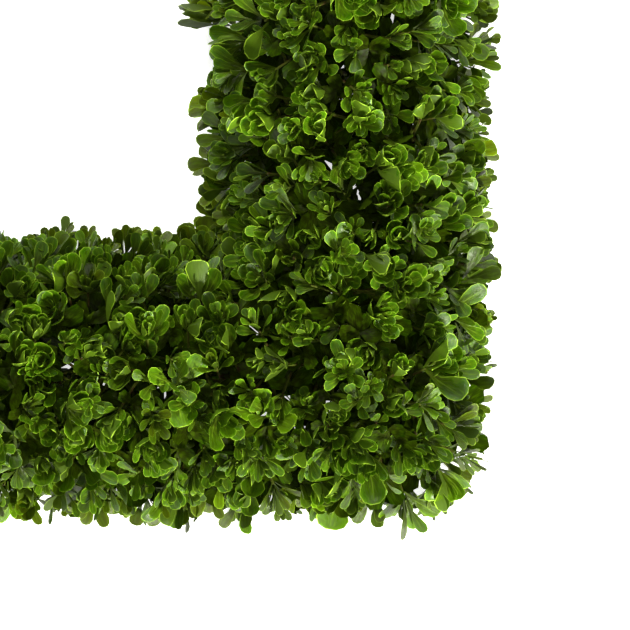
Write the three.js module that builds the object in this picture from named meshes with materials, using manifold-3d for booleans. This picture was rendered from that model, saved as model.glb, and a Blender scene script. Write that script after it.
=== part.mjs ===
// A square wreath of tea leaf sprigs, lying on its back. Three square rings of wire, welded on
// eight cross wires, carry bunches of stems, and each stem opens into a rosette of spoon-shaped
// leaves. Three rows of bunches go round the frame: one looks into the opening, one to the front
// and one outwards. The rosettes are larger than life, so that fewer of them cover the wreath.
// Millimetres. +Z points out of the front, +Y is the top edge when the wreath hangs, and the
// origin is under the middle of the opening, on the surface that the wreath lies on.

import * as THREE from 'three';
import { mergeVertices } from 'three/addons/utils/BufferGeometryUtils.js';
import Module from 'manifold-3d';

const wasm = await Module();
wasm.setup();

// Driving dimensions
const outside = 560; // leaf tip to leaf tip, each way
const barWidth = 148; // leaf tip to leaf tip across one side
const depth = 110; // back of the frame to the front leaf tips
const gap = 0.35; // clear room between two pieces that touch

// The frame
const wireThick = 4.2;
const wireSides = 6;
const weld = 0.6; // how far a ring sinks into the cross wires
const ringSpacing = 34; // from one ring to the next
const crossWireOverhang = 5; // past the inner and outer ring

// The bunches
const hubHeight = 14; // height of the line that the bunches spread from
const coreOut = 44; // half the width of the packed stems inside the leaves
const coreUp = 56; // height of the packed stems above the hub line
const coreSteps = 6; // of the packed stems' rounded outline
const partingFoot = 13; // from the middle of a side to the line between two rows, at the back
const stemFootOut = 25; // from the middle of a side to where the side rows' stems are rooted
const stemFootHeight = 22;
const stemRadius = 3.6; // where it carries the leaves
const leavesInWhorl = 5;
const outerLeaf = {
  length: 42,
  halfWidth: 14.5,
  lean: 66,
  leastLean: 38,
  cup: 3.8,
  notch: 0.4,
  rim: [[0.64, -1, 1], [0.97, -0.46, 0.5], [0.97, 0.46, 0.5], [0.64, 1, 1]],
};
const innerLeaf = {
  length: 27,
  halfWidth: 8.5,
  lean: 36,
  leastLean: 22,
  cup: 2,
  notch: 0.44,
  rim: [[0.76, -1, 1], [1, 0, 0.4], [0.76, 1, 1]],
};
const leafRoot = 3.4; // thickness where a leaf meets its stem, tapering to the rim
const rosetteHeight = 29; // from the root of the leaves to the section that their tips fill
const lowestLeaf = 1; // above the surface that the wreath lies on
const turnsTried = 6; // for each rosette, of which the one with the most room is kept
const cornerSetback = 9.7; // of the outermost corner rosettes along X and Y, which rounds the corner
const cornerOverlap = 6; // how far a bunch reaches past a corner's diagonal, to carry its rosette
const seed = 12;

// Each side has three bunches in a row, which part at two distances from the middle of the side.
// Each tier of rosettes sits at an angle round the section of a side: 0 looks to the front, and
// negative angles into the opening.
const rows = [
  {
    name: 'inner_bunch',
    ring: -ringSpacing,
    partAt: [-49, 80],
    tiers: [
      { angle: -80, rosettes: 4 },
      { angle: -43, rosettes: 5 },
    ],
  },
  {
    name: 'front_bunch',
    ring: 0,
    partAt: [-59, 59],
    tiers: [{ angle: 0, rosettes: 7 }],
  },
  {
    name: 'outer_bunch',
    ring: ringSpacing,
    partAt: [-89, 89],
    tiers: [
      { angle: 43, rosettes: 7 },
      { angle: 80, rosettes: 8 },
    ],
  },
];

const midline = (outside - barWidth) / 2; // from the origin to the middle of a side
const halfWidth = barWidth / 2;
const crown = depth - hubHeight;
const ringHeight = wireThick * 1.5 - weld;
const bundleFloor = wireThick + gap;
const radians = THREE.MathUtils.degToRad;

const leafGreen = new THREE.MeshStandardMaterial({ color: 0x3c7812, roughness: 0.45, metalness: 0 });
const wireGreen = new THREE.MeshStandardMaterial({ color: 0x24391c, roughness: 0.5, metalness: 0.4 });

// Seeded random numbers from 0 to 1, by the mulberry32 rule.
function randomFrom(start) {
  let state = start;
  return () => {
    state = (state + 0x6d2b79f5) | 0;
    let t = Math.imul(state ^ (state >>> 15), 1 | state);
    t = (t + Math.imul(t ^ (t >>> 7), 61 | t)) ^ t;
    return ((t ^ (t >>> 14)) >>> 0) / 4294967296;
  };
}

const random = randomFrom(seed);
const about = (spread) => (random() * 2 - 1) * spread;

// A closed geometry as a solid that can be joined and cut.
function solid(geometry) {
  const bare = geometry.clone();
  bare.deleteAttribute('normal');
  bare.deleteAttribute('uv');
  const merged = mergeVertices(bare, 1e-4);
  return new wasm.Manifold(
    new wasm.Mesh({
      numProp: 3,
      vertProperties: new Float32Array(merged.attributes.position.array),
      triVerts: new Uint32Array(merged.index.array),
    }),
  );
}

// The largest body of a solid as a geometry, so that a loose scrap is left out.
function geometryOf(joined) {
  const bodies = joined.decompose().sort((a, b) => b.volume() - a.volume());
  const mesh = bodies[0].getMesh();
  const geometry = new THREE.BufferGeometry();
  geometry.setAttribute('position', new THREE.BufferAttribute(mesh.vertProperties, 3));
  geometry.setIndex(new THREE.BufferAttribute(mesh.triVerts, 1));
  geometry.computeVertexNormals();
  return geometry;
}

// A square ring of round wire, lying flat: its section, with a flat side down, is turned in four
// steps. The section is widened by the square root of 2, because a corner is that much further out.
function squareRing(half, thick, height) {
  const flats = thick / 2 / Math.cos(Math.PI / wireSides);
  const section = [];
  for (let i = 0; i <= wireSides; i++) {
    const angle = (Math.PI * 2 * (i + 0.5)) / wireSides;
    const across = half + flats * Math.cos(angle);
    section.push(new THREE.Vector2(across * Math.SQRT2, flats * Math.sin(angle)));
  }
  const ring = new THREE.LatheGeometry(section, 4, Math.PI / 4);
  return solid(ring.rotateX(Math.PI / 2).translate(0, 0, height));
}

// A straight wire along the line of sight of an angle, from one distance off the origin to another.
function crossWire(from, to, angle) {
  const wire = new THREE.CylinderGeometry(1, 1, to - from, wireSides);
  const flats = wireThick / 2 / Math.cos(Math.PI / wireSides);
  wire.rotateY(Math.PI / wireSides).scale(flats, 1, flats).rotateZ(-Math.PI / 2);
  wire.translate((from + to) / 2, 0, wireThick / 2).rotateZ(angle);
  return solid(wire);
}

function makeFrame() {
  let frame = null;
  for (const row of rows) {
    const ring = squareRing(midline + row.ring, wireThick, ringHeight);
    frame = frame ? frame.add(ring) : ring;
  }
  for (let i = 0; i < 8; i++) {
    const stretch = i % 2 ? Math.SQRT2 : 1; // a corner is further out than a side
    const from = (midline - ringSpacing) * stretch - crossWireOverhang;
    const to = (midline + ringSpacing) * stretch + crossWireOverhang;
    frame = frame.add(crossWire(from, to, (Math.PI / 4) * i));
  }
  return frame;
}

// The side in front of the origin lies along X, at Y = -midline. A place on it is given by x, by
// how far out of the midline it is, and by its height.
const place = (x, out, height) => new THREE.Vector3(x, -midline - out, height);

// The D-shaped section that the leaf tips fill, as an upright ellipse round the hub line.
function section(angle) {
  const t = radians(angle);
  const out = halfWidth * Math.sin(t);
  const up = crown * Math.cos(t);
  const normal = new THREE.Vector3(0, -Math.sin(t) / halfWidth, Math.cos(t) / crown);
  return { out, height: hubHeight + up, up, normal: normal.normalize() };
}

// The line between the front row and the row beside it, from the back of the frame to the leaf
// tips halfway between two tiers.
const partingTop = section((rows[1].tiers[0].angle + rows[2].tiers[0].angle) / 2);

// A wall is a plane that leaves must stay behind: normal . point < limit.
function wall(normal, through) {
  const unit = normal.clone().normalize();
  return { unit, limit: unit.dot(through) - gap };
}

// The wall towards the next tier of the same row is a plane through the hub line. Towards another
// row it is the parting, which leans outwards on both sides of the front row.
function wallTowards(tier, next, way, sameRow) {
  if (sameRow) {
    const { out, up } = section((tier.angle + next.angle) / 2);
    return wall(new THREE.Vector3(0, -up * way, -out * way), place(0, 0, hubHeight));
  }
  const half = Math.sign(tier.angle + next.angle);
  const slant = (partingTop.out - partingFoot) * half;
  const normal = new THREE.Vector3(0, -partingTop.height * way, -slant * way);
  return wall(normal, place(0, partingFoot * half, 0));
}

// Where a tier meets the next side, a wall is mirrored in the corner's diagonal. Leaves that may
// pass either of the two stay behind a wall halfway between them.
const mirrored = ({ unit, limit }) => ({ unit: new THREE.Vector3(-unit.y, -unit.x, unit.z), limit });

function between(one, other) {
  const sum = one.unit.clone().add(other.unit);
  const length = sum.length();
  return { unit: sum.divideScalar(length), limit: (one.limit + other.limit) / length };
}

// The walls round one rosette: the section that the leaf tips fill, the outside of the wreath, the
// surface underneath, its neighbours along the side and the tiers beside it.
function wallsRound(row, tier, cell, root, axis) {
  const crest = root.clone().addScaledVector(axis, rosetteHeight);
  const outer = wall(new THREE.Vector3(0, -1, 0), place(0, halfWidth, 0));
  const lowEnd = wall(new THREE.Vector3(-1, 0, 0), place(cell.low, 0, 0));
  const highEnd = wall(new THREE.Vector3(1, 0, 0), place(cell.high, 0, 0));
  const walls = [wall(axis, crest), wall(new THREE.Vector3(0, 0, -1), place(0, 0, lowestLeaf))];
  walls.push(lowEnd, cell.corner ? mirrored(lowEnd) : highEnd, outer);
  if (cell.corner) walls.push(mirrored(outer));
  const tiers = rows.flatMap((one) => one.tiers);
  for (const way of [-1, 1]) {
    const next = tiers[tiers.indexOf(tier) + way];
    if (!next) continue;
    const side = wallTowards(tier, next, way, row.tiers.includes(next));
    if (!cell.corner) walls.push(side);
    else if (way > 0) walls.push(side, mirrored(side));
    else walls.push(between(side, mirrored(side)));
  }
  return walls;
}

const clears = (point, walls) => walls.every(({ unit, limit }) => unit.dot(point) < limit);

// The direction at an angle round a rosette's axis, leaning off the axis.
function direction(frame, turn, lean) {
  const way = frame.axis.clone().multiplyScalar(Math.cos(lean));
  way.addScaledVector(frame.right, Math.sin(lean) * Math.cos(turn));
  return way.addScaledVector(frame.ahead, Math.sin(lean) * Math.sin(turn));
}

// The rim of one leaf. It starts at the wanted lean from the rosette's axis, and is raised, then
// shortened, until it is clear of every wall.
function leafRim(root, frame, turn, leaf, walls) {
  const side = direction(frame, turn + Math.PI / 2, Math.PI / 2);
  for (let size = 1; size > 0.3; size -= 0.06) {
    for (let lean = leaf.lean; lean >= leaf.leastLean; lean -= 3) {
      const along = direction(frame, turn, radians(lean));
      const inward = new THREE.Vector3().crossVectors(along, side);
      const rim = leaf.rim.map(([share, across, lift]) => {
        const point = root.clone().addScaledVector(along, leaf.length * size * share);
        point.addScaledVector(side, leaf.halfWidth * size * across);
        return point.addScaledVector(inward, leaf.cup * lift);
      });
      if (rim.every((point) => clears(point, walls))) return { rim, lean, size };
    }
  }
  throw new Error('a leaf finds no room');
}

// The rims of a whorl of leaves, each a little different.
function whorlRims(centre, frame, turn, leaf, walls) {
  return Array.from({ length: leavesInWhorl }, (_, i) => {
    const angle = turn + (Math.PI * 2 * i) / leavesInWhorl + about(0.05);
    const lean = leaf.lean + about(4);
    return leafRim(centre, frame, angle, { ...leaf, lean, length: leaf.length * (1 + about(0.05)) }, walls);
  });
}

// The turn, of a few, at which a rosette's wide leaves spread furthest.
function roomiestTurn(root, frame, walls) {
  const tried = Array.from({ length: turnsTried }, (_, i) => {
    const turn = (Math.PI * 2 * (i + random())) / turnsTried / leavesInWhorl;
    const leaves = whorlRims(root, frame, turn, outerLeaf, walls);
    const spread = leaves.reduce((sum, { lean, size }) => sum + size * size * Math.sin(radians(lean)), 0);
    return { turn, spread };
  });
  return tried.sort((a, b) => b.spread - a.spread)[0].turn;
}

// A rosette on its stem, as one closed mesh. The stem widens from a point deep in the bunch and
// opens into a whorl of wide leaves, and a whorl of narrower, steeper leaves, turned by half a
// leaf, stands on the same top. Both faces of a leaf share its rim, so a leaf is thickest at its
// root and thins to the rim.
function rosette(foot, root, axis, walls) {
  const across = Math.abs(axis.x) < 0.9 ? new THREE.Vector3(1, 0, 0) : new THREE.Vector3(0, 1, 0);
  const right = across.addScaledVector(axis, -across.dot(axis)).normalize();
  const frame = { axis, right, ahead: new THREE.Vector3().crossVectors(axis, right) };
  const top = root.clone().addScaledVector(axis, leafRoot);
  const turn = roomiestTurn(root, frame, walls);
  const points = [];
  const triangles = [];
  const step = (Math.PI * 2) / leavesInWhorl;
  const keep = (point) => points.push(point) - 1;
  const spokes = Array.from({ length: leavesInWhorl }, (_, i) =>
    direction(frame, turn + (i - 0.5) * step, Math.PI / 2).multiplyScalar(stemRadius),
  );
  const whorl = (centre, leaf, offset) => {
    const leaves = whorlRims(centre, frame, turn + offset * step, leaf, walls);
    return leaves.map(({ rim, lean, size }, i) => {
      const before = leaves[(i + leavesInWhorl - 1) % leavesInWhorl];
      const way = direction(frame, turn + (i + offset - 0.5) * step, radians((lean + before.lean) / 2));
      const reach = (leaf.length * leaf.notch * (size + before.size)) / 2;
      return { notch: keep(centre.clone().addScaledVector(way, reach)), rim: rim.map(keep) };
    });
  };

  const stemFoot = keep(foot);
  const stemTop = spokes.map((spoke) => keep(spoke.clone().add(root)));
  const seat = spokes.map((spoke) => keep(spoke.clone().add(top)));
  const outer = whorl(root, outerLeaf, 0);
  const inner = whorl(top, innerLeaf, -0.5);
  const heart = keep(top.clone().addScaledVector(axis, 1.5));

  for (let i = 0; i < leavesInWhorl; i++) {
    const next = (i + 1) % leavesInWhorl;
    triangles.push([stemFoot, stemTop[next], stemTop[i]]);
    const [left, leftTip, rightTip, rightSide] = outer[i].rim;
    for (const [ring, upper] of [[stemTop, false], [seat, true]]) {
      const faces = [
        [ring[i], outer[i].notch, left],
        [ring[i], left, leftTip],
        [ring[i], leftTip, ring[next]],
        [ring[next], leftTip, rightTip],
        [ring[next], rightTip, rightSide],
        [ring[next], rightSide, outer[next].notch],
      ];
      for (const [a, b, c] of faces) triangles.push(upper ? [a, b, c] : [a, c, b]);
    }
    const innerRim = [inner[i].notch, ...inner[i].rim, inner[next].notch];
    for (let j = 1; j < innerRim.length; j++) {
      triangles.push([heart, innerRim[j - 1], innerRim[j]]);
      triangles.push([seat[i], innerRim[j], innerRim[j - 1]]);
    }
    triangles.push([seat[i], seat[next], inner[next].notch]);
  }

  const geometry = new THREE.BufferGeometry().setFromPoints(points);
  geometry.setIndex(triangles.flat());
  return solid(geometry);
}

// An outline of [out, height] points, run along the side from one x to another.
function alongSide(outline, low, high) {
  const shape = new THREE.Shape(outline.map(([out, height]) => new THREE.Vector2(-midline - out, height)));
  const block = new THREE.ExtrudeGeometry(shape, { depth: high - low, bevelEnabled: false });
  return solid(block.rotateX(Math.PI / 2).rotateZ(Math.PI / 2).translate(low, 0, 0));
}

// The section of the packed stems of all three rows: flat underneath, and rounded like the leaf
// tips above.
function coreOutline() {
  const outline = [[coreOut, bundleFloor]];
  for (let i = 0; i <= coreSteps; i++) {
    const angle = Math.PI * (0.5 - i / coreSteps);
    outline.push([coreOut * Math.sin(angle), hubHeight + coreUp * Math.cos(angle)]);
  }
  outline.push([-coreOut, bundleFloor]);
  return outline;
}

// The room of one row, between its partings.
function rowOutline(row) {
  const { out, height } = partingTop;
  const room = gap / 2;
  if (row.ring === 0) {
    return [[partingFoot - room, 0], [out - room, height], [room - out, height], [room - partingFoot, 0]];
  }
  const far = barWidth;
  const outline = [[far, 0], [far, height], [out + room, height], [partingFoot + room, 0]];
  return row.ring > 0 ? outline : outline.map(([x, y]) => [-x, y]).reverse();
}

// Everything beyond a corner's diagonal, to cut a bunch off there. A bunch reaches a little past
// the diagonal at one end and stops short of it at the other, where its neighbour does the same.
function beyondCorner(way) {
  const block = new THREE.BoxGeometry(outside, outside * 4, outside);
  block.translate(outside / 2 - gap / 2 + cornerOverlap * way, 0, 0);
  return solid(block.rotateZ(way > 0 ? Math.PI / 4 : (Math.PI * 3) / 4));
}

// Where the rosettes of one tier stand along the side: evenly, the last one at the corner.
function cellsOf(tier) {
  const half = midline + section(tier.angle).out;
  const pitch = (2 * half) / tier.rosettes;
  return Array.from({ length: tier.rosettes }, (_, i) => {
    const x = -half + (i + 1) * pitch;
    return { x, low: x - pitch / 2, high: x + pitch / 2, corner: i === tier.rosettes - 1 };
  });
}

// The root and axis of a rosette. The one at a corner looks out along the diagonal.
function standing(tier, cell) {
  const { out, height, normal } = section(tier.angle);
  const point = place(cell.x, out, height);
  const axis = normal.clone();
  if (cell.corner) {
    const setback = (cornerSetback * Math.max(0, out)) / halfWidth;
    point.add(new THREE.Vector3(-setback, setback, 0));
    axis.set(-normal.y * Math.SQRT1_2, normal.y * Math.SQRT1_2, normal.z);
  }
  axis.x += about(0.06);
  axis.normalize();
  return { root: point.addScaledVector(axis, -rosetteHeight), axis };
}

// The bunches of one row, on the side in front of the origin. A rosette belongs to the bunch that
// its root stands over, and its stem is rooted there.
function bunchesOf(row) {
  const groove = squareRing(midline + row.ring, wireThick + gap * 2, ringHeight);
  const footOut = Math.sign(row.ring) * stemFootOut;
  const ends = [-outside / 2, ...row.partAt, outside / 2];
  const bunches = ends.slice(1).map((end, i) => {
    const low = ends[i] + gap / 2;
    const high = end - gap / 2;
    let core = alongSide(coreOutline(), low, high).intersect(alongSide(rowOutline(row), low, high));
    core = core.subtract(groove).subtract(beyondCorner(-1)).subtract(beyondCorner(1));
    return { low, high, solid: core };
  });
  for (const tier of row.tiers) {
    for (const cell of cellsOf(tier)) {
      const { root, axis } = standing(tier, cell);
      const bunch = bunches.find(({ low, high }) => root.x >= low && root.x < high);
      const inset = stemRadius * 2;
      const x = THREE.MathUtils.clamp(root.x, bunch.low + inset, bunch.high - inset);
      const footX = cell.corner ? midline + footOut : x;
      const foot = place(footX, footOut, stemFootHeight);
      const walls = wallsRound(row, tier, cell, root, axis);
      bunch.solid = bunch.solid.add(rosette(foot, root, axis, walls));
    }
  }
  return bunches.map((bunch) => geometryOf(bunch.solid));
}

const wreath = new THREE.Group();
const frame = new THREE.Mesh(geometryOf(makeFrame()), wireGreen);
frame.name = 'wire_frame';
wreath.add(frame);

const bunches = rows.map((row) => ({ row, geometries: bunchesOf(row) }));
['bottom', 'right', 'top', 'left'].forEach((sideName, quarter) => {
  const side = new THREE.Group();
  side.rotation.z = (Math.PI / 2) * quarter;
  for (const { row, geometries } of bunches) {
    geometries.forEach((geometry, i) => {
      const bunch = new THREE.Mesh(geometry, leafGreen);
      bunch.name = `${row.name}_${sideName}_${i + 1}`;
      side.add(bunch);
    });
  }
  wreath.add(side);
});

export default wreath;
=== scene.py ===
import math

import bpy
import numpy as np
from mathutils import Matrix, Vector


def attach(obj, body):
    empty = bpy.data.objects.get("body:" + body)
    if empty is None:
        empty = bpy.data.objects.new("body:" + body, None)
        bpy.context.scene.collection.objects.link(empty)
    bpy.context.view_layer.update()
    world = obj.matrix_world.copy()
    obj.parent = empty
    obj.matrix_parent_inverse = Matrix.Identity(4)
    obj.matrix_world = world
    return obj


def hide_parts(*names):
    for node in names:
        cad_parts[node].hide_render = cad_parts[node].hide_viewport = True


# A square tea leaf wreath, lying on its back on a pale floor and seen from straight above. Its
# foliage is made leaf by leaf: roses, bowls, tufts, sprays and broad fans on thin stems, bound to
# a frame of three square wires. Metres, with the origin under the middle of the opening.

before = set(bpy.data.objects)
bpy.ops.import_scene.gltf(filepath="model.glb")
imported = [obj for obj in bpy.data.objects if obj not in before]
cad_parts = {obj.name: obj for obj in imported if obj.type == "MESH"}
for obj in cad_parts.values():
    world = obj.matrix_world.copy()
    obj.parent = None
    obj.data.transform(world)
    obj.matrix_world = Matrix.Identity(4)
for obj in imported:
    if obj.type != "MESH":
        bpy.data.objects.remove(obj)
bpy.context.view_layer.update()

mm = 0.001

wreath = {
    "outside": 560 * mm,      # leaf tip to leaf tip
    "barWidth": 148 * mm,     # leaf tip to leaf tip across one side
    "depth": 110 * mm,        # floor to the front leaf tips
    "hubHeight": 14 * mm,     # the line that the stems spread from
    "cornerPower": 20,        # lower rounds the four corners more
    "ringSpacing": 34 * mm,   # between the wires of the frame
    "seed": 7,
}
midline = (wreath["outside"] - wreath["barWidth"]) / 2
halfBar = wreath["barWidth"] / 2
crown = wreath["depth"] - wreath["hubHeight"]
rng = np.random.default_rng(wreath["seed"])


def unit(v):
    return v / np.maximum(np.linalg.norm(v, axis=-1, keepdims=True), 1e-12)


camera = {
    "lookAt": (189.7 * mm, -177.1 * mm, 80 * mm),  # the middle of the picture
    "width": 300 * mm,                             # that the picture takes in there
    "distance": 2.3,
}
studio = {
    "floorSize": 60.0,
    "floorColour": (0.86, 0.86, 0.86),
    "floorRough": 0.8,
    "floorShine": 0.1,
    "floorGlow": 0.72,
    "worldStrength": 0.38,  # as a light; the camera sees it white, as it does the floor
    # name: (place, aimed at, size, watts, colour)
    "lights": {
        "key": ((1.3, -1.7, 1.5), (0.1, -0.1, 0.05), 0.5, 149.0, (1.0, 0.99, 0.86)),
        "back": ((-0.8, 1.8, 1.5), (0.1, -0.1, 0.05), 0.7, 70.0, (1.0, 1.0, 0.88)),
        "front": ((0.3, -0.2, 3.2), (0.0, 0.0, 0.0), 0.7, 26.0, (1.0, 1.0, 0.88)),
    },
}


def makeCamera():
    data = bpy.data.cameras.new("camera")
    data.lens = data.sensor_width * camera["distance"] / camera["width"]
    data.clip_end = 100
    ob = bpy.data.objects.new("camera", data)
    x, y, z = camera["lookAt"]
    ob.location = (x, y, z + camera["distance"])
    bpy.context.collection.objects.link(ob)
    bpy.context.scene.camera = ob


def makeLights():
    for name, (place, target, size, watts, colour) in studio["lights"].items():
        data = bpy.data.lights.new(name, "AREA")
        data.shape = "DISK"
        data.size, data.energy, data.color = size, watts, colour
        ob = bpy.data.objects.new(name, data)
        ob.location = place
        ob.rotation_euler = (Vector(target) - Vector(place)).to_track_quat("-Z", "Y").to_euler()
        bpy.context.collection.objects.link(ob)
    world = bpy.data.worlds.new("studio")
    bpy.context.scene.world = world
    world.use_nodes = True
    back = world.node_tree.nodes["Background"].inputs
    back["Color"].default_value = (1, 1, 1, 1)
    seen = world.node_tree.nodes.new("ShaderNodeLightPath").outputs["Is Camera Ray"]
    strength = world.node_tree.nodes.new("ShaderNodeMapRange")
    world.node_tree.links.new(seen, strength.inputs["Value"])
    strength.inputs["To Min"].default_value = studio["worldStrength"]
    world.node_tree.links.new(strength.outputs[0], back["Strength"])
    bpy.context.scene.view_settings.view_transform = "Standard"


def makeFloor():
    half = studio["floorSize"] / 2
    mesh = bpy.data.meshes.new("floor")
    corners = [(-half, -half, 0), (half, -half, 0), (half, half, 0), (-half, half, 0)]
    mesh.from_pydata(corners, [], [(0, 1, 2, 3)])
    ob = bpy.data.objects.new("floor", mesh)
    bpy.context.collection.objects.link(ob)
    mat = bpy.data.materials.new("pale floor")
    mat.use_nodes = True
    shader = mat.node_tree.nodes["Principled BSDF"]
    shader.inputs["Base Color"].default_value = (*studio["floorColour"], 1)
    shader.inputs["Roughness"].default_value = studio["floorRough"]
    shader.inputs["Specular IOR Level"].default_value = studio["floorShine"]
    shader.inputs["Emission Color"].default_value = (1, 1, 1, 1)
    shader.inputs["Emission Strength"].default_value = studio["floorGlow"]
    mesh.materials.append(mat)


makeCamera()
makeLights()
makeFloor()
print("camera, floor and lights are in place", flush=True)

leafFinish = {
    "shades": 8,             # from dark to light, and as many from green to yellow
    "deepShades": 2,         # of them, the darkest, for the leaves deep in the foliage: painted shade
    "darkest": 0.36,         # of the full colour, in the darkest shade
    "lighter": 1.1,          # what the lightest shade adds to that
    # The deep colour is painted shade towards each leaf's stalk and down the middle of its blade,
    # and it also mottles the blades at random.
    "deep": (0.030, 0.038, 0.003),
    "blade": (0.028, 0.098, 0.0007),
    "young": (0.138, 0.295, 0.002),
    # The rim is a painted highlight, where light catches the leaves' edges and tips.
    "rim": (0.500, 0.790, 0.050),
    "rimShare": 0.80,
    "rimAcross": (0.45, 0.485),  # where it starts and where it is full: a side is at 0.5
    "rimAlong": (0.965, 0.98),   # and the tip is at 1
    "midribShare": 0.18,     # of the rim highlight's colour
    "middleShadeShare": 0.55,     # of the deep colour beside the midrib, as painted shade fading out to the sides
    "mottleShare": 0.30,     # of the deep colour in patches
    "streakShare": 0.38,     # of the young colour in streaks
    "back": (0.062, 0.112, 0.004),
    "backShare": 0.75,
    "olive": (0.140, 0.140, 0.002),
    "oliveShare": 0.65,      # of it in the yellowest and darkest shade: painted shade and light through the leaves
    "through": (0.260, 0.430, 0.004),
    "throughShare": 0.20,
    "shine": 0.25,
    "deepShine": 0.03,       # of the leaves deep in the foliage: a shaded copy of the leaf, nearly without sheen
    "rough": 0.30,
    "backRougher": 0.18,
    "veinDepth": 0.4 * mm,
}
stemFinish = {
    "green": (0.060, 0.080, 0.008),
    "brown": (0.045, 0.024, 0.008),
    "rough": 0.62,
    "shine": 0.1,
}
wireFinish = {"paint": (0.018, 0.045, 0.014), "worn": (0.055, 0.070, 0.045), "rough": 0.42}
bindingFinish = {"steel": (0.20, 0.20, 0.19), "rough": 0.38, "metal": 0.85}


# A material with its nodes, and one-line ways to add more of them.
class Finish:
    def __init__(self, name):
        self.mat = bpy.data.materials.new(name)
        self.mat.use_nodes = True
        self.tree = self.mat.node_tree
        self.shader = self.tree.nodes["Principled BSDF"].inputs
        self.shaded = self.tree.nodes["Principled BSDF"].outputs[0]
        self.surface = self.tree.nodes["Material Output"].inputs["Surface"]

    def add(self, kind, values=None, **settings):
        node = self.tree.nodes.new(kind)
        for key, value in settings.items():
            setattr(node, key, value)
        for key, value in (values or {}).items():
            self.put(value, node.inputs[key])
        return node

    def put(self, value, socket):
        if isinstance(value, bpy.types.NodeSocket):
            self.tree.links.new(value, socket)
        else:
            socket.default_value = value

    def math(self, operation, a, b=0.0):
        return self.add("ShaderNodeMath", {0: a, 1: b}, operation=operation).outputs[0]

    def ramp(self, value, low, high, start=0.0, end=1.0):
        node = self.add("ShaderNodeMapRange", {0: value, 1: low, 2: high, 3: start, 4: end})
        node.interpolation_type = "SMOOTHSTEP"
        return node.outputs[0]

    def mix(self, share, a, b, blend="MIX"):
        node = self.add("ShaderNodeMix", data_type="RGBA", blend_type=blend)
        for index, value in ((0, share), (6, a), (7, b)):
            self.put((*value, 1.0) if isinstance(value, tuple) else value, node.inputs[index])
        return node.outputs[2]

    def vector(self, x, y, z):
        return self.add("ShaderNodeCombineXYZ", {0: x, 1: y, 2: z}).outputs[0]

    def noise(self, vector, scale, detail=2.0):
        values = {"Vector": vector, "Scale": scale, "Detail": detail}
        return self.add("ShaderNodeTexNoise", values).outputs[0]

    def bump(self, height, strength, distance):
        values = {"Height": height, "Strength": strength, "Distance": distance}
        self.put(self.add("ShaderNodeBump", values).outputs[0], self.shader["Normal"])


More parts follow.
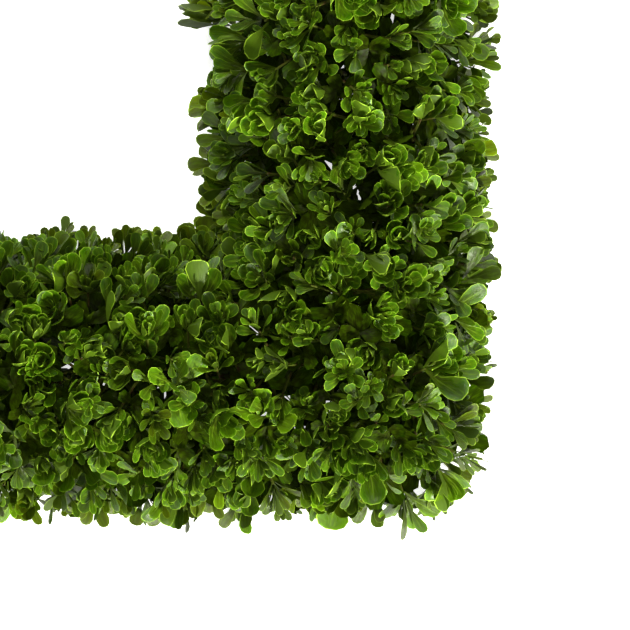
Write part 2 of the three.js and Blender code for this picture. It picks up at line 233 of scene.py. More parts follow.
# The leaf's finish is laid out on a map. Its first number goes from 0 to 1 across a leaf's upper
# face and from 2 to 3 across its back, and its second from 0 at the stalk to 1 at the tip.
def leafMaterial(name, shine):
    f = Finish(name)
    place = f.add("ShaderNodeUVMap", uv_map="leafPlace").outputs[0]
    u, v, _ = f.add("ShaderNodeSeparateXYZ", {0: place}).outputs
    tone = f.add("ShaderNodeAttribute", attribute_name="tone").outputs["Fac"]
    warmth = f.add("ShaderNodeAttribute", attribute_name="warmth").outputs["Fac"]
    isBack = f.ramp(u, 1.8, 1.9)
    across = f.math("SUBTRACT", u, f.math("MULTIPLY", isBack, 2.0))
    across = f.math("ABSOLUTE", f.math("SUBTRACT", across, 0.5))  # 0 at the midrib, 0.5 at a side
    # A painted highlight along the leaf's sides and round its tip, fading out towards the stalk.
    sides, tip = f.ramp(across, *leafFinish["rimAcross"]), f.ramp(v, *leafFinish["rimAlong"])
    rim = f.math("MAXIMUM", sides, tip)
    rim = f.math("MULTIPLY", rim, f.ramp(v, 0.2, 0.6, 0.0, leafFinish["rimShare"]))
    patches = f.vector(f.math("MULTIPLY", across, 5.0), f.math("MULTIPLY", v, 1.3), tone)
    mottle = f.noise(patches, 3.0)
    # The midrib fades towards the tip, and on the darkest leaves.
    midrib = f.ramp(v, 0.95, 0.5, 0.0, leafFinish["midribShare"])
    midrib = f.math("MULTIPLY", f.ramp(across, 0.045, 0.015), midrib)
    midrib = f.math("MULTIPLY", midrib, f.ramp(tone, 0.1, 0.6))
    blade = f.mix(warmth, leafFinish["blade"], leafFinish["young"])
    # Olive on the yellowest and darkest leaves, mostly at the wreath's outer and inner edges:
    # painted shade and painted light shining through them.
    backlitOliveShare = f.math("SUBTRACT", warmth, tone)
    backlitOliveShare = f.ramp(backlitOliveShare, -0.25, 0.35, 0.0, leafFinish["oliveShare"])
    blade = f.mix(backlitOliveShare, blade, leafFinish["olive"])
    # Painted shade: each leaf darkens to the deep colour towards its stalk, where it lies inside
    # its sprig.
    blade = f.mix(f.ramp(v, 0.25, 0.85), leafFinish["deep"], blade)
    mottled = f.ramp(mottle, 0.35, 0.7, 0.0, leafFinish["mottleShare"])
    blade = f.mix(mottled, blade, leafFinish["deep"])
    # Painted shade down the middle of the blade, darkest beside the midrib.
    middleShade = f.ramp(across, 0.45, 0.10, 0.0, leafFinish["middleShadeShare"])
    blade = f.mix(middleShade, blade, leafFinish["deep"])
    lines = f.vector(f.math("MULTIPLY", u, 15.0), f.math("MULTIPLY", v, 5.0), tone)
    streaks = f.ramp(f.noise(lines, 1.0), 0.42, 0.68, 0.0, leafFinish["streakShare"])
    blade = f.mix(streaks, blade, leafFinish["young"])
    blade = f.mix(midrib, blade, leafFinish["rim"])
    blade = f.mix(f.math("MULTIPLY", isBack, leafFinish["backShare"]), blade, leafFinish["back"])
    # The painted rim highlight is stronger on the leaf's back than on its upper face.
    rim = f.math("MULTIPLY", rim, f.ramp(isBack, 0.0, 1.0, 0.7, 1.0))
    blade = f.mix(rim, blade, leafFinish["rim"])
    # The shade darkens the whole leaf: at random, and as painted shade on the leaves deep in the
    # foliage and at the wreath's outer and inner edges.
    shade = f.math("MULTIPLY", tone, leafFinish["lighter"])
    shade = f.math("ADD", shade, leafFinish["darkest"])
    grey = f.add("ShaderNodeCombineColor", {0: shade, 1: shade, 2: shade}).outputs[0]
    f.put(f.mix(1.0, blade, grey, "MULTIPLY"), f.shader["Base Color"])
    rough = f.ramp(mottle, 0.3, 0.7, leafFinish["rough"] - 0.05, leafFinish["rough"] + 0.08)
    rougher = f.math("MULTIPLY", isBack, leafFinish["backRougher"])
    f.put(f.math("ADD", rough, rougher), f.shader["Roughness"])
    f.put(shine, f.shader["Specular IOR Level"])
    veins = f.vector(f.math("MULTIPLY", across, 22.0), f.math("MULTIPLY", v, 3.0), tone)
    f.bump(f.noise(veins, 1.4), 0.4, leafFinish["veinDepth"])
    glow = f.mix(1.0, leafFinish["through"], grey, "MULTIPLY")
    lit = f.add("ShaderNodeBsdfTranslucent", {"Color": glow}).outputs[0]
    both = f.add("ShaderNodeMixShader", {0: leafFinish["throughShare"], 1: f.shaded, 2: lit})
    f.put(both.outputs[0], f.surface)
    return f.mat


def stemMaterial():
    f = Finish("stem")
    place = f.add("ShaderNodeUVMap", uv_map="leafPlace").outputs[0]
    u, v, _ = f.add("ShaderNodeSeparateXYZ", {0: place}).outputs
    warmth = f.add("ShaderNodeAttribute", attribute_name="warmth").outputs["Fac"]
    bark = f.vector(u, f.math("MULTIPLY", v, 6.0), f.math("MULTIPLY", warmth, 20.0))
    greener = f.math("ADD", f.noise(bark, 2.0), f.math("MULTIPLY", v, 0.12))  # to the top
    greener = f.ramp(greener, 0.42, 0.60)
    f.put(f.mix(greener, stemFinish["brown"], stemFinish["green"]), f.shader["Base Color"])
    f.put(stemFinish["rough"], f.shader["Roughness"])
    f.put(stemFinish["shine"], f.shader["Specular IOR Level"])
    return f.mat


def wireMaterial():
    f = Finish("painted wire")
    wear = f.noise(f.add("ShaderNodeTexCoord").outputs["Object"], 220.0, 4.0)
    paint = f.mix(f.ramp(wear, 0.55, 0.72), wireFinish["paint"], wireFinish["worn"])
    f.put(paint, f.shader["Base Color"])
    rough = f.ramp(wear, 0.3, 0.7, wireFinish["rough"] - 0.08, wireFinish["rough"] + 0.12)
    f.put(rough, f.shader["Roughness"])
    return f.mat


def bindingMaterial():
    f = Finish("binding wire")
    f.put((*bindingFinish["steel"], 1.0), f.shader["Base Color"])
    f.put(bindingFinish["rough"], f.shader["Roughness"])
    f.put(bindingFinish["metal"], f.shader["Metallic"])
    return f.mat


leafGreen = leafMaterial("tea leaf", leafFinish["shine"])
# A shaded copy of the leaf, with hardly any shine, for the leaves deep in the foliage; with the
# darkest shades it paints their shade.
shadedDeepGreen = leafMaterial("deep tea leaf", leafFinish["deepShine"])
stemBrown, wireGreen, bindingSteel = stemMaterial(), wireMaterial(), bindingMaterial()

# The foliage falls into 36 bunches: three rows on each side, and three bunches in a row.
sideNames = ["bottom", "right", "top", "left"]
rows = {
    "names": ["inner", "front", "outer"],
    "partAt": np.array([[-49, 80], [-59, 59], [-89, 89]]) * mm,  # along a side, in each row
    "partingFoot": 13 * mm,               # from the midline to the next row, at the floor
    "partingTop": (27.1 * mm, 103 * mm),  # the same higher up, and how high
}


# From a side's own coordinates, along it and out of the origin, to x and y, and back.
def turned(side, along, out):
    cos, sin = np.cos(side * np.pi / 2), np.sin(side * np.pi / 2)
    return np.stack([along * cos + out * sin, along * sin - out * cos], -1)


def unturned(side, place):
    cos, sin = np.cos(side * np.pi / 2), np.sin(side * np.pi / 2)
    x, y = place[..., 0], place[..., 1]
    return x * cos + y * sin, x * sin - y * cos


# A place on the square, from -1 to 1 along a side, and the direction out of the wreath there. The
# square's corners are rounded by a high power: (|x|^p + |y|^p)^(1/p) is the same all along it, and
# the direction is that sum's slope. The power rises inwards, with the inverse square of the
# distance from the middle, so the opening's corners are nearly sharp.
def onSquare(side, along, out):
    power = wreath["cornerPower"] * (wreath["outside"] / 2 / out) ** 2
    ring = (np.abs(along) ** power + 1) ** (1 / power)
    bend = np.sign(along) * np.abs(along) ** (power - 1)
    slope = unit(np.stack([bend, np.ones_like(along)], 1))
    return turned(side, along / ring * out, out / ring), turned(side, slope[:, 0], slope[:, 1])


# A place on the form that the sprigs grow from, which lies an inset under the leaf tips. Its
# section is an upright half ellipse round the hub line: the angle is 0 at the front, 90 outside
# and -90 at the opening.
def onSection(side, along, angle, inset):
    wide, tall = halfBar - inset, crown - inset
    place, slope = onSquare(side, along, midline + wide * np.sin(angle))
    normal = unit(np.stack([np.sin(angle) / wide, np.cos(angle) / tall], 1))
    height = wreath["hubHeight"] + tall * np.cos(angle)
    return np.column_stack([place, height]), np.column_stack([slope * normal[:, :1], normal[:, 1]])


# Which of many places are at least their own spacing from the ones kept before them.
def apart(places, spacing):
    kept = []
    taken = np.zeros(places.shape)
    for i, place in enumerate(places):
        if ((taken[: len(kept)] - place) ** 2).sum(1).min(initial=np.inf) > spacing[i] ** 2:
            taken[len(kept)] = place
            kept.append(i)
    return kept


# Between two numbers for the front of the wreath and for its sides, by the angle's sine, squared.
def fromFront(pair, angle):
    return pair[0] + (pair[1] - pair[0]) * np.sin(angle) ** 2


# A layer of sprigs.
def scattered(layer):
    tries = layer["tries"]
    side, along = rng.integers(0, 4, tries), rng.uniform(-1, 1, tries)
    angle = np.radians(rng.uniform(-layer["widest"], layer["widest"], tries))
    places, normals = onSection(side, along, angle, fromFront(layer["inset"], angle))
    kept = apart(places, fromFront(layer["spacing"], angle))
    return places[kept], normals[kept], angle[kept]


# Which bunch a place belongs to: the side whose wedge it is in, the row between the partings, and
# the bunch along that row.
def bunchOf(place):
    x, y, z = place.T
    side = np.where(np.abs(x) < np.abs(y), np.where(y < 0, 0, 2), np.where(x > 0, 1, 3))
    along, out = unturned(side, place)
    out = out - midline
    far, high = rows["partingTop"]
    parting = rows["partingFoot"] + (far - rows["partingFoot"]) * z / high
    row = np.where(out < -parting, 0, np.where(out > parting, 2, 1))
    partAt = rows["partAt"][row]
    return side * 9 + row * 3 + (along > partAt[:, 0]) + (along > partAt[:, 1])


# Two directions square to an axis and to each other, at an angle round it.
def squareTo(axis, turn):
    helper = np.where(np.abs(axis[..., 2:]) < 0.9, [0.0, 0.0, 1.0], [1.0, 0.0, 0.0])
    right = unit(np.cross(helper, axis))
    ahead = np.cross(axis, right)
    cos, sin = np.cos(turn)[..., None], np.sin(turn)[..., None]
    return right * cos + ahead * sin, ahead * cos - right * sin


# Axes that lean to any side, by up to the most degrees and by more than half of it for most.
def tilted(axis, most):
    away, _ = squareTo(axis, rng.uniform(0, 2 * np.pi, len(axis)))
    lean = np.radians(rng.uniform(0, 1, len(axis)) ** 0.7 * most)[:, None]
    return unit(axis * np.cos(lean) + away * np.sin(lean))


# Stations from stalk to tip: (share of the length, share of the half width).
longOutline = [(0.0, 0.10), (0.31, 0.27), (0.55, 0.76), (0.77, 1.0), (0.92, 0.80), (0.99, 0.32)]
shortOutline = [(0.0, 0.10), (0.44, 0.52), (0.74, 1.0), (0.91, 0.80), (0.99, 0.32)]
longFrom = 12 * mm
# Round a leaf deep in the foliage: (share of the length, share of the half width).
deepOutline = [(0.0, 0.0), (0.44, 0.82), (0.85, 0.84), (1.0, 0.0), (0.85, -0.84), (0.44, -0.82)]
deepMiddle = 0.55  # share of the length, of the points inside it


# A leaf's faces, and each corner's place on the leaf's map. A station has four points: left,
# middle above, right and middle below. The last has only a left and a right one.
def leafFaces(outline):
    strips = [(0, 1, 0, 0.5), (1, 2, 0.5, 1), (2, 3, 3, 2.5), (3, 0, 2.5, 2)]
    faces, spots = [[3, 2, 1, 0]], [[(2.5, 0.0)] * 4]
    for s, ((low, _), (high, _)) in enumerate(zip(outline[:-2], outline[1:])):
        for a, b, ua, ub in strips:
            faces.append([4 * s + a, 4 * s + b, 4 * s + 4 + b, 4 * s + 4 + a])
            spots.append([(ua, low), (ub, low), (ub, high), (ua, high)])
    (low, _), (high, _) = outline[-2:]
    first = 4 * (len(outline) - 2)
    left, above, right, below, tipLeft, tipRight = range(first, first + 6)
    faces += [[left, above, tipLeft], [above, tipRight, tipLeft], [above, right, tipRight]]
    spots += [[(0, low), (0.5, low), (0, high)], [(0.5, low), (1, high), (0, high)]]
    spots += [[(0.5, low), (1, low), (1, high)]]
    faces += [[right, below, tipRight], [below, tipLeft, tipRight], [below, left, tipLeft]]
    spots += [[(3, low), (2.5, low), (3, high)], [(2.5, low), (2, high), (3, high)]]
    spots += [[(2.5, low), (2, low), (2, high)]]
    return faces, spots


# Leaves as points. The middle of each follows an arc of a circle, which turns from its direction
# towards its upper face by the whole bend: sin and 1 - cos of the turn so far, over the bend. The
# sides rise from the middle by the cup's share of the half width, and with the width's square.
def leafPoints(leaves, outline):
    share, width = np.array(outline).T
    bend = np.where(np.abs(leaves["bend"]) < 1e-3, 1e-3, leaves["bend"])[:, None]
    turn = (bend * share)[..., None]
    radius = (leaves["length"][:, None] / bend)[..., None]
    along, normal, side = (leaves[k][:, None, :] for k in ("along", "up", "side"))
    arc = along * np.sin(turn) + normal * (1 - np.cos(turn))
    middle = leaves["root"][:, None, :] + radius * arc
    face = normal * np.cos(turn) - along * np.sin(turn)
    half = (leaves["halfWidth"][:, None] * width)[..., None]
    rise = face * half * width[:, None] * leaves["cup"][:, None, None]
    under = middle - face * leaves["thick"][:, None, None]
    left, right = middle - side * half + rise, middle + side * half + rise
    body = np.stack([ring[:, :-1] for ring in (left, middle, right, under)], 2)
    return np.concatenate([body.reshape(len(bend), -1, 3), left[:, -1:], right[:, -1:]], 1)


# A deep leaf: its outline, with one point inside it above and one below.
def deepFaces():
    count = len(deepOutline)
    ring = [(0.5 + 0.5 * across, share) for share, across in deepOutline]
    faces, spots = [], []
    for i in range(count):
        j = (i + 1) % count
        faces += [[i, j, count], [j, i, count + 1]]
        spots += [[ring[i], ring[j], (0.5, deepMiddle)]]
        spots += [[(ring[j][0] + 2, ring[j][1]), (ring[i][0] + 2, ring[i][1]), (2.5, deepMiddle)]]
    return faces, spots


def deepPoints(leaves):
    share = np.array([v for v, _ in deepOutline] + [deepMiddle] * 2)[None, :, None]
    across = np.array([w for _, w in deepOutline] + [0.0, 0.0])[None, :, None]
    isRim = (np.arange(share.size) < len(deepOutline))[None, :, None]
    isUnder = (np.arange(share.size) == share.size - 1)[None, :, None]
    root, along, normal, side = (leaves[k][:, None, :] for k in ("root", "along", "up", "side"))
    length, half, cup, bend, thick = (
        leaves[k][:, None, None] for k in ("length", "halfWidth", "cup", "bend", "thick")
    )
    rise = half * cup * isRim + length * bend * share**2 / 2 - thick * isUnder
    return root + along * length * share + side * half * across + normal * rise


# The sprigs seen from outside. Their spacing and inset are for the wreath's front and its sides.
sprigs = {
    "spacing": (10.2 * mm, 11.8 * mm),
    "inset": (15.8 * mm, 16.2 * mm),  # of their feet under the leaf tips
    "widest": 98,                     # degrees from the front, as far as they grow
    "tries": 24000,                   # places tried
    "mostSunk": 9.0 * mm,             # under the inset
    "mostLean": 54,                   # degrees
    "facing": 1.1,                    # how much the leaves at the sides turn to the front
    "size": (0.80, 1.22),             # the least and the most, of the lengths given below
    "outerSize": 0.10,                # more, as a share, for the outermost and the innermost
    "slender": (0.84, 1.2),           # the least and the most, of the widths given below
    "turnNoise": 0.17,                # radians, the spread from one leaf to the next
    "lengthNoise": 0.10,              # the same as a share
    "widthNoise": 0.08,
    "leanNoise": (7, 4),              # degrees, the spread for a sprig and for its leaves
    "bendNoise": (10, 5),
    "roll": 0.26,                     # radians, the spread of the leaves' turn on their midribs
    "rolled": 0.32,                   # share of the leaves that turn much further
    "rolledBy": 1.3,                  # radians, the spread of their turn
    "thick": 0.5 * mm,                # of a leaf at its middle
    "offAxis": 0.7 * mm,              # of the leaves' feet
}
# The kinds of sprig, each with its share of them at the front and at the sides. The pairs for
# length, lean and bend are for the outermost and the innermost leaf, and those for leaves and cup
# are the least and the most. A cup under 0 bulges up. Angles are in degrees, lengths in
# millimetres.
kinds = {
    "rose": {
        "share": (0.27, 0.04), "leaves": (10, 13), "length": (18.5, 9.5), "lean": (60, 8),
        "bend": (46, 6), "wide": 0.28, "cup": (0.35, 0.60), "rise": 3.0,
    },
    "bowl": {
        "share": (0.23, 0.05), "leaves": (11, 15), "length": (17.0, 8.0), "lean": (62, 8),
        "bend": (46, 6), "wide": 0.23, "cup": (0.10, 0.45), "rise": 4.0,
    },
    "tuft": {
        "share": (0.24, 0.24), "leaves": (12, 16), "length": (14.5, 8.0), "lean": (46, 5),
        "bend": (-22, -8), "wide": 0.195, "cup": (-0.30, 0.14), "rise": 6.5,
    },
    "spray": {
        "share": (0.18, 0.48), "leaves": (8, 12), "length": (13.0, 7.5), "lean": (54, 8),
        "bend": (-20, -6), "wide": 0.205, "cup": (-0.30, 0.14), "rise": 13.0,
    },
    "broad": {
        "share": (0.08, 0.22), "leaves": (4, 6), "length": (17.0, 11.5), "lean": (58, 14),
        "bend": (-20, -14), "wide": 0.245, "cup": (-0.30, 0.12), "rise": 8.0,
    },
}
# Plain leaves deep in the foliage: two layers under the sprigs, and a mat of them over the wires,
# which reaches half its width each way from the midline.
deepLayers = [
    {
        "inset": (23 * mm, 27 * mm), "spacing": (14.5 * mm, 14.5 * mm), "widest": 104,
        "tries": 9000, "mostLean": 40, "leaves": 5, "length": 13.5 * mm,
    },
    {
        "inset": (37 * mm, 39 * mm), "spacing": (18 * mm, 18 * mm), "widest": 104,
        "tries": 7000, "mostLean": 40, "leaves": 5, "length": 16 * mm,
    },
]
mat = {
    "halfWidth": 54 * mm, "height": (14 * mm, 30 * mm), "spacing": 12.8 * mm,
    "tries": 7000, "mostLean": 22, "leaves": 6, "length": 17.5 * mm, "leastLean": 65,
}
# What the deep leaves have in common. The pairs are the least and the most.
deepLeaf = {
    "leastLean": 35,       # degrees, where the layer gives none
    "turnNoise": 0.3,      # radians, a spread
    "size": (0.75, 1.2),   # of the layer's length
    "wide": (0.28, 0.36),  # half the width, of the length
    "cup": (0.1, 0.4),
    "bend": (-0.4, 0.4),   # radians
    "thick": 0.6 * mm,
}


# Leaves round their sprigs' axes, as arrays of (sprig, leaf), laid end to end. The more a sprig's
# axis leans to a side of the wreath, the more its leaves turn their faces to the front.
def leafTable(place, axis, turn, lean, raised, out, numbers):
    axis3 = np.broadcast_to(axis[:, None, :], (*turn.shape, 3))
    outward, side = squareTo(axis3, turn)
    cos, sin = np.cos(lean)[..., None], np.sin(lean)[..., None]
    along = axis3 * cos + outward * sin
    up = axis3 * sin - outward * cos
    front = [0.0, 0.0, 1.0] - along * along[..., 2:]
    facing = rng.uniform(0.2, 1.8, turn.shape)[..., None] * (1 - axis3[..., 2:] ** 2) ** 1.6
    facing *= sprigs["facing"]
    roll = rng.normal(0, sprigs["roll"], turn.shape)
    isRolled = rng.uniform(0, 1, turn.shape) < sprigs["rolled"]
    roll += isRolled * rng.normal(0, sprigs["rolledBy"], turn.shape)
    up = unit(up + side * roll[..., None] + unit(front) * facing)
    side = np.cross(along, up)
    root = place[:, None, :] + axis3 * raised[..., None] + outward * out
    table = {"root": root, "along": along, "up": up, "side": side}
    table = {key: value.reshape(-1, 3) for key, value in table.items()}
    table["sprig"] = np.repeat(np.arange(len(place)), turn.shape[1])
    for key, value in numbers.items():
        table[key] = np.broadcast_to(value, turn.shape).ravel()
    return table


def picked(table, mask):
    return {key: value[mask] for key, value in table.items()}


# A sprig's leaves turn by the golden angle from one to the next. On a spray they come in pairs,
# each pair square to the one below. From the outermost leaf to the innermost, each number goes
# evenly from the first to the second of its pair.
def sprigLeaves(kind, place, axis, angle):
    numbers = kinds[kind]
    many, most = len(place), numbers["leaves"][1]
    order = np.arange(most)
    inward = (order / (most - 1))[None, :]
    step = np.radians(137.5) * order
    if kind == "spray":
        inward = (order // 2 * 2 / (most - 1))[None, :]
        step = np.pi * (order % 2) + np.pi / 2 * (order // 2)

    def noise(spread):
        return rng.normal(0, spread, (many, most))

    def between(key):
        return numbers[key][0] + (numbers[key][1] - numbers[key][0]) * inward

    def angles(key, ofSprig, ofLeaf):
        return np.radians(between(key) + rng.normal(0, ofSprig, (many, 1)) + noise(ofLeaf))

    turn = rng.uniform(0, 2 * np.pi, (many, 1)) + step + noise(sprigs["turnNoise"])
    size = rng.uniform(*sprigs["size"], (many, 1))
    size = size * (1 + sprigs["outerSize"] * np.abs(np.sin(angle))[:, None] ** 4)
    length = between("length") * mm * size * (1 + noise(sprigs["lengthNoise"]))
    lean = angles("lean", *sprigs["leanNoise"])
    bend = angles("bend", *sprigs["bendNoise"])
    halfWidth = length * numbers["wide"] * rng.uniform(*sprigs["slender"], (many, 1))
    halfWidth = halfWidth * (1 + noise(sprigs["widthNoise"]))
    cup = rng.uniform(*numbers["cup"], (many, most))
    raised = numbers["rise"] * mm * inward * size
    table = leafTable(place, axis, turn, lean, raised, sprigs["offAxis"], {
        "length": length, "halfWidth": halfWidth, "cup": cup, "bend": bend,
        "thick": sprigs["thick"],
    })
    fewest = numbers["leaves"][0]
    kept = order[None, :] >= most - rng.integers(fewest, most + 1, (many, 1))
    return picked(table, kept.ravel())


def deepLeaves(layer, place, axis):
    many, least = layer["leaves"], layer.get("leastLean", deepLeaf["leastLean"])
    shape = (len(place), many)
    turn = rng.uniform(0, 2 * np.pi, (len(place), 1)) + 2 * np.pi * np.arange(many) / many
    lean = np.radians(rng.uniform(least, 90, shape))
    length = layer["length"] * rng.uniform(*deepLeaf["size"], shape)
    turn = turn + rng.normal(0, deepLeaf["turnNoise"], shape)
    return leafTable(place, axis, turn, lean, 0 * lean, 0, {
        "length": length, "halfWidth": length * rng.uniform(*deepLeaf["wide"], shape),
        "cup": rng.uniform(*deepLeaf["cup"], shape), "bend": rng.uniform(*deepLeaf["bend"], shape),
        "thick": deepLeaf["thick"],
    })


# Below a height, points are drawn up so that none goes under the floor: the lower one would be,
# the less is left of its height, as a falling exponential.
def aboveFloor(points, soft=8 * mm):
    z = points[..., 2]
    points[..., 2] = np.where(z < soft, soft * np.exp((z - soft) / soft), z)
    return points


# Round tubes along paths of (tube, station, 3). Each section is a ring square to its path, which
# starts square to the helper direction too. A closed tube's end joins its start.
def tubes(paths, radius, sides, helper, closed=False):
    if closed:
        way = unit(np.roll(paths, -1, 1) - np.roll(paths, 1, 1))
    else:
        way = unit(np.gradient(paths, axis=1))
    right = unit(np.cross(way, helper))
    ahead = np.cross(right, way)
    turn = (2 * np.pi * np.arange(sides) / sides)[:, None]
    ring = right[:, :, None] * np.cos(turn) + ahead[:, :, None] * np.sin(turn)
    return (paths[:, :, None] + ring * radius[..., None, None]).reshape(len(paths), -1, 3)


def tubeFaces(stations, sides, closed=False):
    k = np.arange(sides)
    after = (k + 1) % sides
    first = np.arange(stations if closed else stations - 1)[:, None] * sides
    second = (first + sides) % (stations * sides)
    quads = np.stack([first + k, first + after, second + after, second + k], -1)
    quads = quads.reshape(-1, 4).tolist()
    if closed:
        return quads, [[(0.5, 0.5)] * 4] * len(quads)
    caps = [k[::-1].tolist(), (k + (stations - 1) * sides).tolist()]
    u, v = np.arange(sides + 1) / sides, np.arange(stations) / (stations - 1)
    spots = [
        [(u[i], v[s]), (u[i + 1], v[s]), (u[i + 1], v[s + 1]), (u[i], v[s + 1])]
        for s in range(stations - 1) for i in range(sides)
    ]
    return quads + caps, spots + [[(0.5, 0.0)] * sides, [(0.5, 1.0)] * sides]


# The leaves' shades are steps from dark to light, their tone, and from green to yellow, their
# warmth. A sprig's are random, but darker and yellower for the outermost and the innermost sprigs,
# as painted shade and painted light shining through those leaves, and its leaves' are spread round
# its own.
shading = {
    "tone": (4.2, 1.3),  # the mean and the spread for sprigs
    "toneLow": -2.2,     # added for the outermost and the innermost, as painted shade
    "toneNoise": 1.2,    # the spread for a sprig's leaves
    "warmth": 4.0,       # the most for sprigs
    # added for the outermost and the innermost, as painted light shining through those leaves
    "warmthLow": 4.5,
    "warmthNoise": 0.8,
}


# Leaves come in a square of shades, from dark to light across it and from green to yellow up it.
def shadeOf(variant):
    most = leafFinish["shades"] - 1
    return variant % (most + 1) / most, (variant // (most + 1) / most) ** 2


def variantsFor(table, tone, warmth):
    most = leafFinish["shades"] - 1
    many = len(table["sprig"])
    tone = tone[table["sprig"]] + rng.normal(0, shading["toneNoise"], many)
    warmth = warmth[table["sprig"]] + rng.normal(0, shading["warmthNoise"], many)
    tone = np.clip(np.round(tone), leafFinish["deepShades"], most)
    warmth = np.clip(np.round(warmth), 0, most)
    return (tone + (most + 1) * warmth).astype(int)


# Where a corner lies on the square that the finish is drawn on: each shade has a cell, with the
# upper face on the left and the back on the right.
def bakePlace(spots, variant):
    u, v = spots.T
    margin = 0.04  # of a cell, free round each face
    half = 0.5 - 2 * margin
    across = np.where(u < 1.5, margin + half * u, 0.5 + margin + half * (u - 2))
    cell = np.stack([across, margin + (1 - 2 * margin) * v], 1)
    shades = leafFinish["shades"]
    corner = np.stack([variant % shades, variant // shades], 1)
    return ((cell[None] + corner[:, None]) / shades).reshape(-1, 2)


# Many bodies of a few kinds in one mesh.
class Pile:
    def __init__(self):
        self.points, self.corners, self.sizes, self.slots = [], [], [], []
        self.maps = {"leafPlace": [], "OFBake": []}
        self.shades = {"tone": [], "warmth": []}
        self.count = 0

    def add(self, points, faces, spots, variant, slot):
        bodies, each = points.shape[:2]
        corners = np.array([c for face in faces for c in face])
        spots = np.array([s for face in spots for s in face], float)
        first = each * np.arange(bodies)[:, None] + self.count
        self.points.append(points.reshape(-1, 3))
        self.corners.append((corners[None] + first).ravel())
        self.sizes.append(np.tile([len(face) for face in faces], bodies))
        self.slots.append(np.full(bodies * len(faces), slot))
        self.maps["leafPlace"].append(np.tile(spots, (bodies, 1)))
        self.maps["OFBake"].append(bakePlace(spots, variant))
        for key, shade in zip(self.shades, shadeOf(variant)):
            self.shades[key].append(np.repeat(shade, each))
        self.count += bodies * each

    def build(self, name, materials, mapped=True):
        points, corners, sizes, slots = (
            np.concatenate(part) for part in (self.points, self.corners, self.sizes, self.slots)
        )
        mesh = bpy.data.meshes.new(name)
        mesh.vertices.add(len(points))
        mesh.vertices.foreach_set("co", points.astype(np.float32).ravel())
        mesh.loops.add(len(corners))
        mesh.loops.foreach_set("vertex_index", corners.astype(np.int32))
        mesh.polygons.add(len(sizes))
        mesh.polygons.foreach_set("loop_start", (np.cumsum(sizes) - sizes).astype(np.int32))
        mesh.polygons.foreach_set("loop_total", sizes.astype(np.int32))
        mesh.polygons.foreach_set("material_index", slots.astype(np.int32))
        mesh.polygons.foreach_set("use_smooth", np.ones(len(sizes), bool))
        mesh.update(calc_edges=True)
        for key, spots in self.maps.items() if mapped else ():
            flat = np.concatenate(spots).astype(np.float32).ravel()
            mesh.uv_layers.new(name=key).uv.foreach_set("vector", flat)
        for key, numbers in self.shades.items() if mapped else ():
            flat = np.concatenate(numbers).astype(np.float32)
            mesh.attributes.new(key, "FLOAT", "POINT").data.foreach_set("value", flat)
        mesh.set_sharp_from_angle(angle=math.radians(48))  # keeps the leaves' and stems' edges
        for material in materials:
            mesh.materials.append(material)
        ob = bpy.data.objects.new(name, mesh)
        bpy.context.collection.objects.link(ob)
        return ob, int((sizes - 2).sum())


# Most sprigs' feet lie near the form and some deeper, less so at the sides. The higher a kind's
# leaves rise, the deeper its foot.
place, normal, angle = scattered(sprigs)
sunk = rng.uniform(0, 1, len(place)) ** 1.5 * sprigs["mostSunk"] * (1 - 0.6 * np.sin(angle) ** 4)
axis = tilted(normal, sprigs["mostLean"])
shares = np.array([kinds[kind]["share"] for kind in kinds]).T[:, None]
limits = np.cumsum(fromFront(shares, angle[:, None]), 1)
kindOf = (limits < rng.uniform(0, 1, (len(place), 1)) * limits[:, -1:]).sum(1)
rise = np.array([kinds[kind]["rise"] for kind in kinds])[kindOf] * mm
place = place - normal * (sunk + 0.6 * (rise - 4 * mm))[:, None]
tables = []
for k, kind in enumerate(kinds):
    mine = np.flatnonzero(kindOf == k)
    table = sprigLeaves(kind, place[mine], axis[mine], angle[mine])
    table["sprig"] = mine[table["sprig"]]
    tables.append(table)
leaves = {key: np.concatenate([table[key] for table in tables]) for key in tables[0]}
low = np.sin(angle) ** 12  # near 1 for the outermost and the innermost sprigs, else near 0
# The darker, yellower shades of the outermost and innermost sprigs are painted shade and painted
# light shining through them.
tone = rng.normal(*shading["tone"], len(place)) + shading["toneLow"] * low
warmth = rng.uniform(0, 1, len(place)) ** 2 * shading["warmth"] + shading["warmthLow"] * low
leafVariant = variantsFor(leaves, tone, warmth)
home = bunchOf(place)
print("sprigs", len(place), "leaves", len(leafVariant), flush=True)

under = []
for layer in deepLayers:
    spot, out, _ = scattered(layer)
    under.append((spot, deepLeaves(layer, spot, tilted(out, layer["mostLean"]))))
along, side = rng.uniform(-1, 1, mat["tries"]), rng.integers(0, 4, mat["tries"])
spot, _ = onSquare(side, along, midline + rng.uniform(-1, 1, mat["tries"]) * mat["halfWidth"])
spot = np.column_stack([spot, rng.uniform(*mat["height"], mat["tries"])])
spot = spot[apart(spot, np.full(len(spot), mat["spacing"]))]
upward = np.broadcast_to([0.0, 0.0, 1.0], spot.shape)
under.append((spot, deepLeaves(mat, spot, tilted(upward, mat["mostLean"]))))
# The leaves deep in the foliage get only the darkest shades: painted shade.
under = [
    (table, rng.integers(0, leafFinish["deepShades"], len(table["sprig"])), bunchOf(spot))
    for spot, table in under
]
print("deep leaves", sum(len(variant) for _, variant, _ in under), flush=True)

stems = {
    "radius": (0.95 * mm, 0.6 * mm),  # at the foot and at the top
    "size": (0.8, 1.25),              # the least and the most, of that radius
    "spread": 9 * mm,                 # along the ring, of their feet
    "footHeight": (7 * mm, 12 * mm),
    "reach": 0.35,                    # of its length, that a stem keeps its way at an end
    "stations": 5,
    "sides": 4,
}


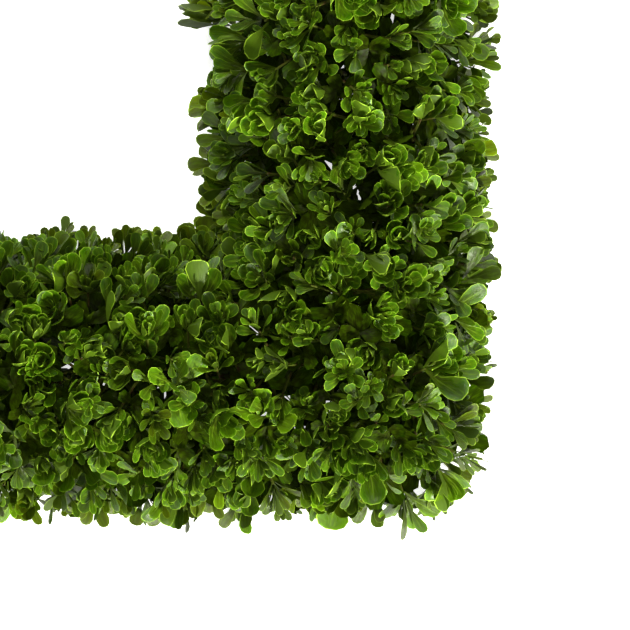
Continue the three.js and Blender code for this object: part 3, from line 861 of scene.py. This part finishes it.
# Stems run from the ring under a row up into each sprig, each on one curve of the third degree.
def stemPoints():
    side, row = home // 9, home // 3 % 3
    along, _ = unturned(side, place)
    ring = midline + (row - 1) * wreath["ringSpacing"]
    along = np.clip(along + rng.normal(0, stems["spread"], len(place)), -ring, ring)
    footHeight = rng.uniform(*stems["footHeight"], len(place))
    foot = np.column_stack([turned(side, along, ring), footHeight])
    top = place + axis * (rise * 0.5)[:, None]
    reach = np.linalg.norm(top - foot, axis=1, keepdims=True) * stems["reach"]
    s = np.linspace(0, 1, stems["stations"])[None, :, None]
    a, b, c, d = (q[:, None] for q in (foot, foot + [0, 0, 1] * reach, top - axis * reach, top))
    paths = a * (1 - s) ** 3 + 3 * b * s * (1 - s) ** 2 + 3 * c * s**2 * (1 - s) + d * s**3
    radius = np.linspace(*stems["radius"], stems["stations"])
    radius = radius * rng.uniform(*stems["size"], (len(place), 1))
    alongSide = np.column_stack([np.cos(side * np.pi / 2), np.sin(side * np.pi / 2), 0 * side])
    return tubes(paths, radius, stems["sides"], alongSide[:, None])


stemBodies = stemPoints()
stemShape = tubeFaces(stems["stations"], stems["sides"])
leafShapes = [(outline, leafFaces(outline)) for outline in (shortOutline, longOutline)]
deepShape = deepFaces()
triangles = 0
for bunch in range(36):
    side, row = sideNames[bunch // 9], rows["names"][bunch // 3 % 3]
    pile = Pile()
    for i, (outline, shape) in enumerate(leafShapes):
        mine = (home == bunch)[leaves["sprig"]] & ((leaves["length"] > longFrom) == bool(i))
        points = aboveFloor(leafPoints(picked(leaves, mine), outline))
        pile.add(points, *shape, leafVariant[mine], 0)
    for table, variant, homes in under:
        mine = (homes == bunch)[table["sprig"]]
        pile.add(aboveFloor(deepPoints(picked(table, mine))), *deepShape, variant[mine], 2)
    mine = home == bunch
    cell = leafFinish["shades"] * (1 + np.arange(mine.sum()) % (leafFinish["shades"] - 1))
    pile.add(aboveFloor(stemBodies[mine]), *stemShape, cell, 1)
    name = f"{row}_foliage_{side}_{bunch % 3 + 1}"
    ob, count = pile.build(name, [leafGreen, stemBrown, shadedDeepGreen])
    triangles += count
    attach(ob, "root")
    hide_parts(f"{row}_bunch_{side}_{bunch % 3 + 1}")
print("foliage is made, triangles", triangles, flush=True)

# The wire frame: three square rings lie on eight cross wires, and a thin wire that binds the stems
# is wound round each ring.
wires = {
    "thick": 4.2 * mm,
    "sides": 12,
    "ringHeight": 5.7 * mm,
    "corner": 9 * mm,       # radius of a ring's corners
    "overhang": 5 * mm,     # of the cross wires past the rings
    "roundEnd": 0.6 * mm,   # the length over which a cross wire thins to its end
    "endShare": 0.7,        # of the thickness, at a cross wire's ends
    "binding": 1.0 * mm,
    "bindingSides": 5,
    "pitch": 21 * mm,       # from one turn of the binding to the next
    "perTurn": 9,           # stations
    "swell": 0.25,          # of a turn, that the binding is ahead or behind at most
    "swells": 7,            # times round a ring
}


# A square with round corners, as points that go once round it.
def ringPath(half):
    turn = np.linspace(0, np.pi / 2, 8)
    corner = half - wires["corner"] + wires["corner"] * np.stack([np.cos(turn), np.sin(turn)], 1)
    quarter = np.arange(4)[:, None]
    cos, sin = np.cos(quarter * np.pi / 2), np.sin(quarter * np.pi / 2)
    x, y = corner.T
    flat = np.stack([x * cos - y * sin, x * sin + y * cos], -1).reshape(-1, 2)
    return np.column_stack([flat, np.full(len(flat), wires["ringHeight"])])


# The binding winds round a ring as a screw line: the angle round the ring's wire grows evenly with
# the length, and its pitch swells and shrinks a little.
def bindingPath(path):
    path = np.vstack([path, path[:1]])
    length = np.append(0, np.cumsum(np.linalg.norm(np.diff(path, axis=0), axis=1)))
    turns = round(length[-1] / wires["pitch"])
    count = turns * wires["perTurn"]
    at = np.arange(count) / count
    angle = 2 * np.pi * turns * at[:, None]
    at = at + wires["swell"] / turns * np.sin(2 * np.pi * wires["swells"] * at)
    at = at * length[-1]
    middle = np.stack([np.interp(at, length, line, period=length[-1]) for line in path.T], 1)
    way = unit(np.roll(middle, -1, 0) - np.roll(middle, 1, 0))
    out = np.cross(way, upward)
    reach = (wires["thick"] + wires["binding"]) / 2
    return middle + reach * (out * np.cos(angle) + upward * np.sin(angle))


# One wire: its path, its radius at each station, its number of sides and its material.
def addWire(pile, path, radius, sides, slot, closed=False):
    body = tubes(path[None], radius * np.ones((1, len(path))), sides, upward, closed)
    pile.add(body, *tubeFaces(len(path), sides, closed), np.zeros(1, int), slot)


pile = Pile()
upward = np.array([0.0, 0.0, 1.0])
for ring in (-1, 0, 1):
    path = ringPath(midline + ring * wreath["ringSpacing"])
    addWire(pile, path, wires["thick"] / 2, wires["sides"], 0, closed=True)
    binding = bindingPath(path)
    addWire(pile, binding, wires["binding"] / 2, wires["bindingSides"], 1, closed=True)
for eighth in range(8):
    stretch = 1 if eighth % 2 == 0 else math.sqrt(2)
    start = (midline - wreath["ringSpacing"]) * stretch - wires["overhang"]
    end = (midline + wreath["ringSpacing"]) * stretch + wires["overhang"]
    far = np.array([start, start + wires["roundEnd"], end - wires["roundEnd"], end])[:, None]
    way = np.array([math.cos(eighth * math.pi / 4), math.sin(eighth * math.pi / 4), 0.0])
    path = far * way + upward * wires["thick"] / 2
    radius = np.array([wires["endShare"], 1.0, 1.0, wires["endShare"]]) * wires["thick"] / 2
    addWire(pile, path, radius, wires["sides"], 0)
ob, count = pile.build("wire_frame_wires", [wireGreen, bindingSteel], mapped=False)
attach(ob, "root")
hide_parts("wire_frame")
print("wire frame is made, triangles", count, flush=True)
